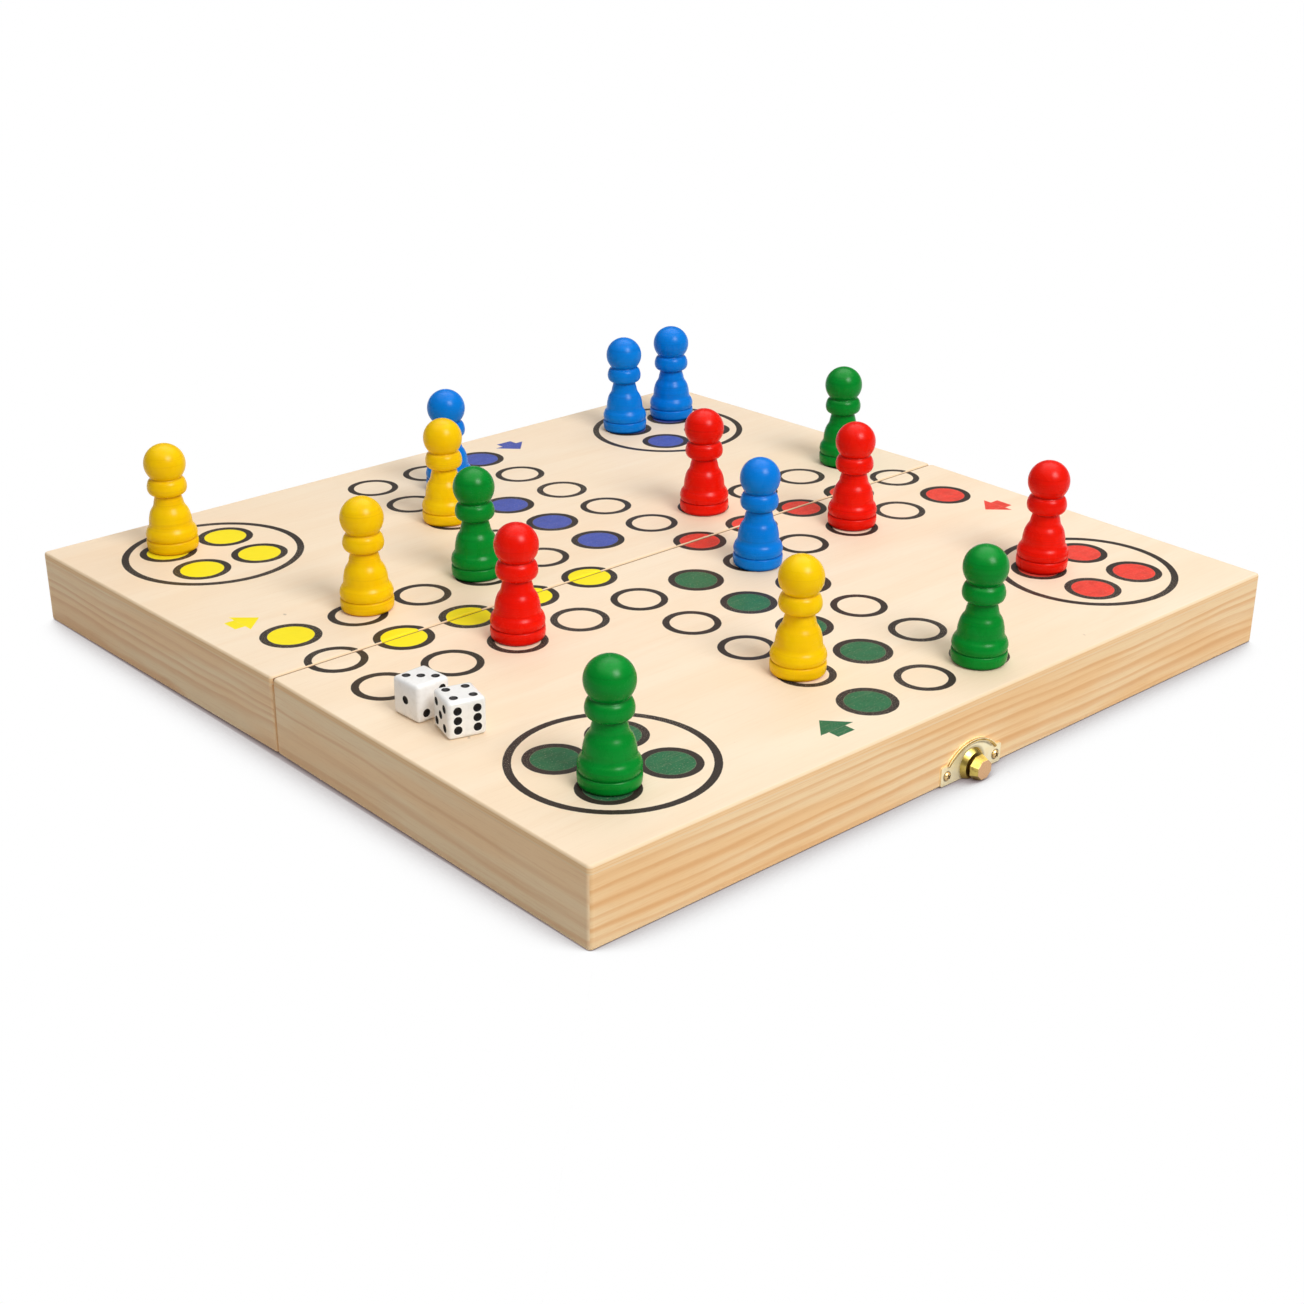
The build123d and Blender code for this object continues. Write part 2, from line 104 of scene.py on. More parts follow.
# ------------------------------------------------------------------------------ shader maths
class Shade:
    """A number that varies over a surface. Python's operators on it add Math nodes."""

    def __init__(self, book: "NodeBook", socket: bpy.types.NodeSocket) -> None:
        """Keeps the node book and the output socket that gives the number."""
        self.book = book
        self.socket = socket

    def math(self, operation: str, *values: Any) -> "Shade":
        """Adds a Math node, by Blender's name of the operation, on numbers or shades."""
        sockets = dict(enumerate(values))
        return self.book.number("ShaderNodeMath", {"operation": operation}, sockets)

    def __add__(self, other: Any) -> "Shade":
        """Adds."""
        return self.math("ADD", self, other)

    __radd__ = __add__

    def __sub__(self, other: Any) -> "Shade":
        """Takes other away."""
        return self.math("SUBTRACT", self, other)

    def __rsub__(self, other: Any) -> "Shade":
        """Is taken away from other."""
        return self.math("SUBTRACT", other, self)

    def __mul__(self, other: Any) -> "Shade":
        """Multiplies."""
        return self.math("MULTIPLY", self, other)

    __rmul__ = __mul__

    def __truediv__(self, other: Any) -> "Shade":
        """Divides."""
        return self.math("DIVIDE", self, other)

    def __abs__(self) -> "Shade":
        """Drops the sign."""
        return self.math("ABSOLUTE", self)

    def smaller(self, other: Any) -> "Shade":
        """Gives the smaller of the two."""
        return self.math("MINIMUM", self, other)

    def larger(self, other: Any) -> "Shade":
        """Gives the larger of the two."""
        return self.math("MAXIMUM", self, other)

    def below(self, limit: Any) -> "Shade":
        """Gives 1 where the number is less than the limit, else 0."""
        return self.math("LESS_THAN", self, limit)

    def above(self, limit: Any) -> "Shade":
        """Gives 1 where the number is more than the limit, else 0."""
        return self.math("GREATER_THAN", self, limit)

    def rounded(self) -> "Shade":
        """Gives the nearest whole number."""
        return self.math("ROUND", self)

    def fraction(self) -> "Shade":
        """Gives what is left over the whole number below."""
        return self.math("FRACT", self)

    def sign(self) -> "Shade":
        """Gives 1 for a positive number and -1 for a negative one."""
        return self.math("SIGN", self)

    def reach(self, other: Any) -> "Shade":
        """Gives the length of the two taken as the sides of a right angle."""
        total = self * self + other * other
        return total.math("SQRT", total)

    def rise(self, low: float, high: float) -> "Shade":
        """Goes smoothly from 0, up to the low value, to 1 from the high one."""
        span = {"Value": self, "From Min": low, "From Max": high}
        return self.book.number("ShaderNodeMapRange", {"interpolation_type": "SMOOTHSTEP"}, span)

    def fall(self, low: float, high: float) -> "Shade":
        """Goes smoothly from 1 to 0 between two values."""
        return 1 - self.rise(low, high)

    def within(self, limit: float, soft: float) -> "Shade":
        """Gives 1 below the limit and 0 above it, softly over that much on each side."""
        return self.fall(limit - soft, limit + soft)

    def band(self, low: float, high: float, soft: float) -> "Shade":
        """Gives 1 between two limits and 0 outside, softly over that much on each side."""
        return self.rise(low - soft, low + soft) * self.within(high, soft)


class NodeBook:
    """The nodes of one material, or of the sky."""

    def __init__(self, owner: bpy.types.ID) -> None:
        """Opens an empty book.

        Args:
            owner: A new material or world.
        """
        owner.use_nodes = True
        self.owner = owner
        self.tree = owner.node_tree
        self.tree.nodes.clear()

    def node(
        self,
        kind: str,
        settings: dict[str, Any] | None = None,
        sockets: dict[Any, Any] | None = None,
    ) -> bpy.types.Node:
        """Adds a node.

        Args:
            kind: The node's type.
            settings: Its properties, set first.
            sockets: What its inputs get, by name or number: a value, a shade or a socket.

        Returns:
            The node.
        """
        node = self.tree.nodes.new(kind)
        for name, value in (settings or {}).items():
            setattr(node, name, value)
        for key, value in (sockets or {}).items():
            source = value.socket if isinstance(value, Shade) else value
            if isinstance(source, bpy.types.NodeSocket):
                self.tree.links.new(source, node.inputs[key])
            elif isinstance(source, tuple) and node.inputs[key].type == "RGBA":
                node.inputs[key].default_value = (*source, 1.0)
            else:
                node.inputs[key].default_value = source
        return node

    def number(
        self, kind: str, settings: dict[str, Any], sockets: dict[Any, Any], output: int | str = 0
    ) -> Shade:
        """Adds a node and takes one of its outputs as a number."""
        return Shade(self, self.node(kind, settings, sockets).outputs[output])

    def ray(self, kind: str) -> Shade:
        """Gives 1 to rays of that kind, such as Camera, and 0 to the others."""
        return self.number("ShaderNodeLightPath", {}, {}, f"Is {kind} Ray")

    def blended(
        self, share: Shade, first: bpy.types.Node, second: bpy.types.Node
    ) -> bpy.types.Node:
        """Mixes two shaders with that share of the second."""
        sockets = {0: share, 1: first.outputs[0], 2: second.outputs[0]}
        return self.node("ShaderNodeMixShader", {}, sockets)

    def place(self) -> tuple[Shade, Shade, Shade]:
        """Reads where a point of the surface is.

        Returns:
            Its X, Y and Z in the frame, in millimetres.
        """
        spot = self.node("ShaderNodeTexCoord").outputs["Object"]
        split = self.node("ShaderNodeSeparateXYZ", sockets={0: spot})
        return tuple(Shade(self, output) / MM for output in split.outputs)

    def cloud(
        self, x: Any, y: Any, z: Any, detail: float = 2.0, distortion: float = 0.0
    ) -> Shade:
        """Adds noise that changes about once per unit of its place.

        Args:
            x: The first coordinate.
            y: The second coordinate.
            z: The third coordinate.
            detail: How many finer layers it has.
            distortion: How much it is swirled.

        Returns:
            The pattern, from 0 to 1, mostly near a half.
        """
        sockets = {"Scale": 1.0, "Detail": detail, "Distortion": distortion}
        sockets["Vector"] = self.node("ShaderNodeCombineXYZ", sockets={0: x, 1: y, 2: z}).outputs[0]
        return self.number("ShaderNodeTexNoise", {}, sockets)

    def mixed(
        self, share: Any, first: Any, second: Any, blend: str = "MIX"
    ) -> bpy.types.NodeSocket:
        """Mixes two colours, each a colour or its socket, with that share of the second."""
        settings = {"data_type": "RGBA", "blend_type": blend, "clamp_factor": True}
        return self.node("ShaderNodeMix", settings, {0: share, 6: first, 7: second}).outputs[2]

    def layered(self, ground: Any, *layers: tuple[Any, Any]) -> bpy.types.NodeSocket:
        """Lays colours over a ground.

        Args:
            ground: The lowest colour.
            *layers: The share, from 0 to 1, and the colour of each layer, from the lowest up.

        Returns:
            The socket of the colour that shows.
        """
        for share, colour in layers:
            ground = self.mixed(share, ground, colour)
        return ground

    def finish(
        self, colour: Any, roughness: Any, height: Any, depth: float, **fixed: float
    ) -> bpy.types.Material:
        """Ends the material in a Principled shader.

        Args:
            colour: Its colour.
            roughness: Its roughness.
            height: A pattern from 0 to 1 that raises the surface.
            depth: How much the pattern raises it, in millimetres.
            **fixed: Values of other sockets, that are the same all over, with _ for a space.

        Returns:
            The finished material.
        """
        sockets = {"Base Color": colour, "Roughness": roughness}
        for name, value in fixed.items():
            sockets[name.replace("_", " ").title().replace("Ior", "IOR")] = value
        bump = {"Strength": 1.0, "Distance": depth * MM, "Height": height}
        sockets["Normal"] = self.node("ShaderNodeBump", {}, bump).outputs[0]
        shader = self.node("ShaderNodeBsdfPrincipled", {}, sockets)
        self.node("ShaderNodeOutputMaterial", {}, {0: shader.outputs[0]})
        return self.owner


def opened(name: str) -> NodeBook:
    """Starts a material of that name and gives its node book."""
    return NodeBook(bpy.data.materials.new(name))


def above_rim(y: Shade, z: Shade) -> Shade:
    """Gives the height above a half's rim, which the open board's flat tent tilts a little."""
    return (z - KNUCKLE_RADIUS) * math.cos(TENT_ANGLE) + abs(y) * math.sin(TENT_ANGLE)


# ------------------------------------------------------------------------------ finishes
@dataclass(frozen=True)
class Pine:
    """Planed pine with soft latewood streaks, cut from a log whose heart lies off the rail."""

    name: str
    grain: Grain
    seed: float
    ring_pitch: float = 4.2
    heart_height: float = -60.0
    heart_depth: float = 150.0
    streak: float = 0.68
    streak_start: float = 0.25
    wander: float = 2.2
    pale: Colour = tint(251, 219, 172)
    peach: Colour = tint(248, 206, 152)
    latewood: Colour = tint(231, 171, 110)
    resin: Colour = tint(196, 136, 84)

    def material(self) -> bpy.types.Material:
        """Makes the finish of one rail.

        Returns:
            The material.
        """
        book = opened(self.name)
        x, y, z = book.place()
        height = above_rim(y, z)
        along, depth = (x, abs(y)) if self.grain is Grain.ALONG_HINGE else (y, abs(x))
        seed = self.seed
        bend = book.cloud(along * 0.009 + seed, height * 0.03, depth * 0.02, detail=1.5) - 0.5
        ripple = book.cloud(along * 0.045 + seed, height * 0.09, depth * 0.05 + seed) - 0.5
        growth = (height - self.heart_height).reach(depth - self.heart_depth)
        growth = growth + bend * (self.wander * 3) + ripple * 0.9
        uneven = book.cloud(growth * 0.16 + seed, seed, along * 0.002) - 0.5
        ring = (growth / self.ring_pitch + uneven * 1.6 + seed).fraction()
        late = ring.rise(self.streak_start, 0.8) * ring.fall(0.82, 1.0)
        strength = book.cloud(growth * 0.21 + seed, along * 0.012, seed).rise(0.3, 0.62)
        late = late * (strength * 0.65 + 0.35)
        fibre = book.cloud(along * 0.07, height * 2.1 + seed, depth * 2.1, detail=3.0)
        thread = book.cloud(along * 0.25 + seed, height * 5.5, depth * 5.5, detail=1.0)
        blush = book.cloud(along * 0.02 + seed, height * 0.12, depth * 0.1, detail=1.0)
        colour = book.layered(
            self.pale,
            (blush.rise(0.35, 0.65), self.peach),
            (late * self.streak, self.latewood),
            (fibre.rise(0.45, 0.8) * 0.30, self.latewood),
            (thread.rise(0.60, 0.8) * 0.16, self.resin),
        )
        rough = 0.5 - late * 0.06 + fibre * 0.1
        return book.finish(colour, rough, fibre * 0.7 + late * 0.3, 0.03, specular_ior_level=0.22)


@dataclass(frozen=True)
class PrintedPly:
    """Thin plywood with a pale face veneer, printed with the traditional cross of fields.

    Lengths are in millimetres. Drops are measured down from the printed face.
    """

    name: str = "printed_ply"
    pitch: float = 24.63
    ring_radius: float = 9.12
    ring_line: float = 2.25
    home_reach: float = 103.1
    home_radius: float = 29.7
    home_line: float = 2.35
    home_spot: float = 11.03
    arrow_side: float = 43.9
    arrow_tip: float = 122.5
    arrow_head: float = 7.0
    arrow_head_half: float = 6.5
    arrow_stem: float = 3.6
    arrow_stem_half: float = 3.3
    # The print grows towards the left beyond this line, by this much per millimetre.
    spread_from: float = -60.0
    spread_left: float = 0.0004
    home_spread_left: float = 0.0002
    shift_x: float = 0.2
    shift_y: float = 1.5
    inked_drop: float = 0.16
    yellow_drop: float = 0.55
    chipped_edge: float = 0.75
    soft: float = 0.07
    # Where handling has rubbed the face: X, Y, radius and strength.
    specks = ((-115.5, 38.9, 0.9, 0.5), (-124.7, -68.4, 0.8, 0.55), (60.3, -136.2, 0.7, 0.4))
    veneer: Colour = tint(250, 230, 203)
    shaded_veneer: Colour = tint(245, 218, 185)
    warm_veneer: Colour = tint(249, 218, 184)
    fibre_tone: Colour = tint(231, 198, 160)
    pore_tone: Colour = tint(205, 165, 124)
    fleck_tone: Colour = tint(214, 180, 146)
    # The arris colour: the plywood's edge, with painted shade that dims its highlight.
    arris_edge_and_shade: Colour = tint(244, 217, 180)
    edge: Colour = tint(250, 212, 162)
    core: Colour = tint(236, 180, 120)
    glue: Colour = tint(226, 168, 108)
    rubbed: Colour = tint(150, 130, 112)
    # The dark colour painted as shade in the seam between the halves.
    seam_shade: Colour = tint(120, 72, 36)
    line_ink: Colour = tint(34, 26, 22)
    pooled_ink: Colour = tint(40, 44, 60)
    yellow: Colour = tint(254, 234, 4)
    green: Colour = tint(14, 100, 60)
    red: Colour = tint(237, 60, 46)
    blue: Colour = tint(66, 84, 170)

    def of_four(self, book: NodeBook, right: Shade, other: Shade) -> bpy.types.NodeSocket:
        """Picks an ink by two marks of 0 or 1: the right pair of inks, and the pair's second."""
        pairs = (self.yellow, self.green), (self.blue, self.red)
        return book.mixed(right, *(book.mixed(other, *pair) for pair in pairs))

    def bare(self, book: NodeBook, x: Shade, y: Shade, height: Shade) -> tuple[Any, Shade]:
        """Lays the bare plywood: face veneers with the grain along the hinge, and a core.

        Args:
            book: The material's node book.
            x: X in millimetres.
            y: Y in millimetres.
            height: Height above the rim in millimetres.

        Returns:
            The colour and the fibre pattern.
        """
        flame = book.cloud(x * 0.011, y * 0.085, height * 0.05, detail=3.0, distortion=0.6)
        patch = book.cloud(x * 0.012 + 7.0, y * 0.02, 3.0, detail=1.0)
        fibre = book.cloud(x * 0.07, y * 1.7, height * 1.7, detail=3.0)
        pore = book.cloud(x * 0.28, y * 3.6, height * 3.6, detail=1.0)
        fleck = book.cloud(x * 0.55 + 3.0, y * 0.9, 1.0, detail=2.0)
        along_edge = book.cloud(x * 0.05, y * 0.05, height * 2.6, detail=2.0)
        drop, rise = HALF_HEIGHT - height, height - (HALF_HEIGHT - PANEL_THICKNESS)
        glue_lines = rise.band(0.62, 0.78, 0.08) + rise.band(1.52, 1.68, 0.08)
        colour = book.layered(
            self.veneer,
            (flame.rise(0.34, 0.68) * 0.45, self.shaded_veneer),
            (patch.rise(0.4, 0.7) * 0.25, self.warm_veneer),
            (fibre.rise(0.48, 0.78) * 0.14, self.fibre_tone),
            (pore.rise(0.64, 0.80) * 0.08, self.pore_tone),
            (fleck.rise(0.74, 0.80) * 0.25, self.fleck_tone),
            # The arris takes a darker colour than the veneer: the plywood's edge, and painted shade
            # that dims its highlight.
            (drop.band(0.09, 2.43, 0.05), self.arris_edge_and_shade),
            (drop.band(0.65, 2.33, 0.15), self.edge),
            (rise.band(0.7, 1.6, 0.08) * along_edge.rise(0.45, 0.7) * 0.35, self.core),
            (glue_lines * 0.35, self.glue),
        )
        for spot_x, spot_y, radius, strength in self.specks:
            rough = (book.cloud(x * 1.2, y * 1.2, radius) - 0.5) * 1.6
            speck = ((x - spot_x).reach(y - spot_y) + rough).fall(radius * 0.2, radius)
            colour = book.mixed(speck * strength, colour, self.rubbed)
        return colour, fibre

    def arrows(self, x: Shade, y: Shade, ragged: Shade) -> Shade:
        """Draws the four short arrows that point out at each arm's starting field.

        Args:
            x: X on the print in millimetres.
            y: Y on the print in millimetres.
            ragged: How far the print's edges stray.

        Returns:
            1 on an arrow, 0 elsewhere.
        """
        over_x = abs(x).above(abs(y))
        beside_arm = over_x * (x.sign() * y * -1) + (1 - over_x) * (y.sign() * x)
        aside = abs(beside_arm - self.arrow_side) + ragged
        past_tip = abs(x).larger(abs(y)) - self.arrow_tip + ragged
        slope = self.arrow_head_half / self.arrow_head
        head = past_tip.band(0, self.arrow_head, self.soft)
        head = head * (aside - past_tip * slope).within(0, self.soft)
        tail_end = self.arrow_head + self.arrow_stem
        stem = past_tip.band(self.arrow_head, tail_end, self.soft)
        return head.larger(stem * aside.within(self.arrow_stem_half, self.soft))

    def material(self) -> bpy.types.Material:
        """Makes the finish of both panels.

        Returns:
            The material.
        """
        book = opened(self.name)
        world_x, world_y, z = book.place()
        height = above_rim(world_y, z)
        colour, fibre = self.bare(book, world_x, world_y, height)
        x, y = world_x + self.shift_x, world_y + self.shift_y
        ragged = (book.cloud(world_x * 0.9, world_y * 0.9, 2.0, detail=3.0) - 0.5) * 0.22

        column, row = (x / self.pitch).rounded(), (y / self.pitch).rounded()
        out, aside = abs(column).larger(abs(row)), abs(column).smaller(abs(row))
        cross = out.below(5.5) * aside.below(1.5) * out.above(0.5)
        starts = out.above(4.5) * (column * row * (abs(column) - abs(row))).below(-0.5)
        filled = (aside.below(0.5) * out.below(4.5) * out.above(0.5)).larger(starts)
        leftness = x.smaller(0.0) * y.above(self.spread_from) * -1
        spread = leftness * self.spread_left + 1
        from_field = (x - column * self.pitch).reach(y - row * self.pitch) / spread + ragged

        x_side, y_side = x.sign(), y.sign()
        askew = x_side * y_side
        home_x = x - x_side * self.home_reach + askew * 0.45 + 0.1
        home_y = y - y_side * self.home_reach + askew * 0.57 + x_side * 0.37 - 0.1
        from_home = home_x.reach(home_y) / (leftness * self.home_spread_left + 1) + ragged
        at_home = from_home.below(self.home_radius + 1)
        spot_x, spot_y = abs(home_x) - self.home_spot, abs(home_y) - self.home_spot
        from_spot = spot_x.reach(spot_y) / spread + ragged

        inner = self.ring_radius - self.ring_line
        lines = from_field.band(inner, self.ring_radius, self.soft) * cross
        lines = lines.larger(from_spot.band(inner, self.ring_radius, self.soft) * at_home)
        home_inner = self.home_radius - self.home_line
        lines = lines.larger(from_home.band(home_inner, self.home_radius, self.soft))
        fills = from_field.within(inner, self.soft) * cross * filled
        fills = fills.larger(from_spot.within(inner, self.soft) * at_home)
        fills = fills.larger(self.arrows(x, y, ragged))

        right = at_home * x.above(0.0) + (1 - at_home) * (x + y).above(0.0)
        other = at_home * y.below(0.0) + (1 - at_home) * (x - y).above(0.0)
        yellow = (1 - right) * (1 - other)
        ink = self.of_four(book, right, other)
        mottle = book.cloud(world_x * 0.30, world_y * 0.30, 5.0, detail=4.0)
        speckle = book.cloud(world_x * 1.9, world_y * 1.9, 9.0, detail=2.0)
        uneven = (1 - yellow) * 0.9 + 0.1
        pooled = mottle.rise(0.35, 0.75) * uneven * 0.18
        ink = book.mixed(pooled, ink, self.pooled_ink, "MULTIPLY")
        gaps = speckle.rise(0.58, 0.78) * 0.26 + fibre.rise(0.5, 0.8) * 0.06
        cover = 0.98 - gaps * uneven
        dust = book.cloud(world_x * 3.4, world_y * 3.4, 1.0, detail=2.0)
        worn = book.cloud(world_x * 0.022, world_y * 0.022, 4.0, detail=1.0).rise(0.46, 0.62)
        line_cover = 0.99 - dust.rise(0.58, 0.70) * (worn * 0.42 + 0.06)

        drop = HALF_HEIGHT - height
        chipped = (abs(world_y) + ragged * 1.5).fall(self.chipped_edge - 0.08, self.chipped_edge)
        face = drop.fall(self.inked_drop, self.inked_drop + 0.04) * (1 - chipped * x.above(0.0))
        full_face = face.larger(yellow * drop.fall(self.yellow_drop, self.yellow_drop + 0.08))
        seam = abs(world_y) * math.cos(TENT_ANGLE) - (z - KNUCKLE_RADIUS) * math.sin(TENT_ANGLE)
        colour = book.layered(
            colour,
            (fills * cover * full_face, ink),
            (lines * line_cover * face, self.line_ink),
            # Painted shade in the narrow gap where the two halves meet.
            (seam.fall(0.05, 0.22) * drop.band(0.52, 1.5, 0.17) * 0.85, self.seam_shade),
        )
        inked = fills.larger(lines) * face
        rough = 0.46 + fibre * 0.12 - inked * 0.08
        wave = fibre * (1 - inked * 0.5)
        return book.finish(colour, rough, wave, 0.02, specular_ior_level=0.16)


@dataclass(frozen=True)
class Brass:
    """Plated brass, drawn or stamped, with faint scuffs and dulled patches."""

    name: str = "plated_brass"
    bright: Colour = tint(244, 220, 146)
    dull: Colour = tint(220, 184, 104)
    # The dark colour: tarnish in the knob's groove, painted shade on the catch plates and in the
    # nails' crosses.
    tarnish_and_shade: Colour = tint(84, 54, 20)
    roughness: float = 0.22
    metal: float = 1.0
    # How far out of the wall a sawn end lies, in millimetres, if there is one.
    end_face: float = 0.0
    end_colour: Colour = tint(214, 170, 126)

    def grime_and_shade(self, book: NodeBook, x: Shade, y: Shade, height: Shade) -> Shade | None:
        """Marks from 0 to 1 where the brass is darkened: tarnish on the knob, painted shade on the
        plates. Plain brass has no such place.
        """
        return None

    def material(self) -> bpy.types.Material:
        """Makes the finish.

        Returns:
            The material.
        """
        book = opened(self.name)
        x, y, z = book.place()
        patch = book.cloud(x * 0.35, y * 0.35, z * 0.35, detail=4.0).rise(0.4, 0.7)
        scuff = book.cloud(x * 3.0, y * 3.0, z * 0.5, detail=3.0)
        colour = book.mixed(patch * 0.6, self.bright, self.dull)
        rough = self.roughness + patch * 0.12 + scuff.rise(0.55, 0.7) * 0.08
        dark = self.grime_and_shade(book, x, y, above_rim(y, z))
        # Darkens the marked places: tarnish on the knob, painted shade on the catch plates.
        if dark is not None:
            colour = book.mixed(dark, colour, self.tarnish_and_shade)
            rough = rough + dark * 0.25
        if self.end_face:
            sawn_end = (abs(y) - HALF_WIDTH).rise(self.end_face, self.end_face + 0.04)
            colour = book.mixed(sawn_end, colour, self.end_colour)
        return book.finish(colour, rough, scuff, 0.002, metallic=self.metal)


@dataclass(frozen=True)
class PlateBrass(Brass):
    """The catch plates' pale brass, with painted shade round the nails, the boss and inside the
    bead.
    """

    boss_height: float = 3.6

    def grime_and_shade(self, book: NodeBook, x: Shade, y: Shade, height: Shade) -> Shade:
        """Paints shade in the plate's corners: round the nails, round the boss and under the bead.

        Args:
            book: The material's node book.
            x: X in millimetres.
            y: Y in millimetres.
            height: Height above the rim in millimetres.

        Returns:
            How dark each place is, from 0 to 1.
        """
        round_nail = (abs(x) - NAIL_ACROSS).reach(height - NAIL_HEIGHT)
        round_boss = x.reach(height - self.boss_height)
        shade_under_bead = x.reach(height - ARCH_CENTRE).band(12.4, 12.9, 0.35)
        dark = (round_nail.fall(1.45, 1.85) * 0.8).larger(round_boss.fall(5.2, 6.3) * 0.55)
        dark = dark.larger(shade_under_bead * height.rise(6.2, 7.0) * 0.7)
        return dark * (book.cloud(x * 0.8, y * 0.8, height * 0.8, detail=3.0) * 0.8 + 0.5)


@dataclass(frozen=True)
class KnobBrass(Brass):
    """The knob's yellow brass, with dark polish left in the groove and a rosy sawn end."""

    groove_start: float = 2.16
    groove_end: float = 3.14
    end_face: float = 5.64

    def grime_and_shade(self, book: NodeBook, x: Shade, y: Shade, height: Shade) -> Shade:
        """Marks the stained places and the groove.

        Args:
            book: The material's node book.
            x: X in millimetres.
            y: Y in millimetres.
            height: Height above the rim in millimetres.

        Returns:
            How dark each place is, from 0 to 1.
        """
        stain = book.cloud(x * 0.6, y * 0.6, height * 0.6, detail=3.0).rise(0.5, 0.72) * 0.5
        out = abs(y) - HALF_WIDTH
        return stain.larger(out.band(self.groove_start, self.groove_end, 0.08) * 0.95)


@dataclass(frozen=True)
class TurnedPaint:
    """Gloss paint on a turned pawn: fine lathe lines show through, with painted shade in the
    grooves and at the foot.
    """

    name: str
    colour: Colour
    deep_tone_and_shade: Colour
    light: Colour
    # The grooves where shade is painted: their lower and upper edges above the foot and their
    # softness, in millimetres.
    grooves = ((4.0, 4.4, 0.25), (19.0, 19.5, 0.4), (25.2, 25.8, 0.3))

    def material(self) -> bpy.types.Material:
        """Makes the finish of one player's pawns.

        Returns:
            The material.
        """
        book = opened(self.name)
        x, y, z = book.place()
        height = above_rim(y, z) - HALF_HEIGHT
        sag = book.cloud(x * 0.16, y * 0.16, height * 0.12, detail=2.0)
        turning = book.cloud(x * 0.03, y * 0.03, height * 2.6, detail=3.0)
        grit = book.cloud(x * 2.2, y * 2.2, height * 2.2, detail=2.0)
        groove_shade = sum(height.band(*groove_shade) for groove_shade in self.grooves)
        colour = book.layered(
            self.colour,
            (sag.rise(0.35, 0.7) * 0.5, self.light),
            (turning.rise(0.5, 0.75) * 0.18, self.deep_tone_and_shade),
            # Painted shade: in the grooves, and darker towards the foot where the pawn meets the
            # board.
            (groove_shade * 0.55, self.deep_tone_and_shade),
            (height.fall(0.2, 1.6) * 0.7, self.deep_tone_and_shade),
        )
        rough = 0.24 + sag * 0.06 + grit.rise(0.6, 0.8) * 0.08
        wave = turning * 0.55 + grit * 0.2 + sag * 0.25
        return book.finish(colour, rough, wave, 0.03, specular_ior_level=0.12)


@dataclass(frozen=True)
class DicePlastic:
    """Polished white plastic, rubbed a little on its edges by tumbling."""

    name: str = "dice_plastic"
    white: Colour = tint(250, 248, 245)
    worn: Colour = tint(238, 234, 229)

    def material(self) -> bpy.types.Material:
        """Makes the finish.

        Returns:
            The material.
        """
        book = opened(self.name)
        x, y, z = book.place()
        rub = book.cloud(x * 0.8, y * 0.8, z * 0.8, detail=4.0)
        colour = book.mixed(rub.rise(0.45, 0.75) * 0.5, self.white, self.worn)
        rough = 0.16 + rub.rise(0.5, 0.75) * 0.12
        return book.finish(colour, rough, rub, 0.01, specular_ior_level=0.3)


@dataclass(frozen=True)
class PipInk:
    """Black enamel in the pips, a little uneven."""

    name: str = "pip_ink"
    black: Colour = tint(14, 12, 13)
    thin: Colour = tint(30, 27, 28)

    def material(self) -> bpy.types.Material:
        """Makes the finish.

        Returns:
            The material.
        """
        book = opened(self.name)
        x, y, z = book.place()
        pool = book.cloud(x * 2.5, y * 2.5, z * 2.5, detail=2.0)
        colour = book.mixed(pool, self.black, self.thin)
        return book.finish(colour, 0.3 + pool * 0.15, pool, 0.01, specular_ior_level=0.15)


# ------------------------------------------------------------------------------ modelling
def deselect() -> None:
    """Leaves edit mode and deselects everything."""
    if bpy.context.object and bpy.context.object.mode != "OBJECT":
        bpy.ops.object.mode_set(mode="OBJECT")
    bpy.ops.object.select_all(action="DESELECT")


def pick(*pieces: bpy.types.Object) -> None:
    """Makes these pieces the only selected ones, and the last one active.

    Args:
        *pieces: The pieces.
    """
    deselect()
    for piece in pieces:
        piece.select_set(True)
        bpy.context.view_layer.objects.active = piece


def open_mesh() -> None:
    """Starts editing the active piece, with all of it selected."""
    bpy.ops.object.mode_set(mode="EDIT")
    bpy.ops.mesh.select_all(action="SELECT")


def smooth(piece: bpy.types.Object, sharp: float) -> None:
    """Shades a piece smooth, but for edges sharper than that many degrees."""
    pick(piece)
    bpy.ops.object.shade_smooth_by_angle(angle=math.radians(sharp))


def named(name: str) -> bpy.types.Object:
    """Names the active piece, once its turn and size are in its mesh.

    Args:
        name: The name.

    Returns:
        The piece.
    """
    piece = bpy.context.object
    bpy.ops.object.transform_apply(location=True, rotation=True, scale=True)
    piece.name = piece.data.name = name
    return piece


def settle(piece: bpy.types.Object, spot: Matrix) -> None:
    """Moves a mesh, modelled in millimetres about its own middle, to its place in metres."""
    piece.data.transform(spot @ Matrix.Scale(MM, 4))
    piece.matrix_world = Matrix.Identity(4)


def copied(pattern: bpy.types.Object, name: str, spot: Matrix) -> bpy.types.Object:
    """Copies a pattern piece, with a mesh of its own, to its place.

    Args:
        pattern: The piece to copy.
        name: The copy's name.
        spot: Where it goes, in metres.

    Returns:
        The copy.
    """
    piece = pattern.copy()
    piece.data = pattern.data.copy()
    piece.name = piece.data.name = name
    bpy.context.scene.collection.objects.link(piece)
    settle(piece, spot)
    return piece


def coat(piece: bpy.types.Object, *materials: bpy.types.Material) -> None:
    """Gives a piece its materials.

    Args:
        piece: The piece.
        *materials: Its materials, in the order of its slots.
    """
    while len(piece.data.materials) < len(materials):
        piece.data.materials.append(None)
    for index, material in enumerate(materials):
        piece.material_slots[index].material = material


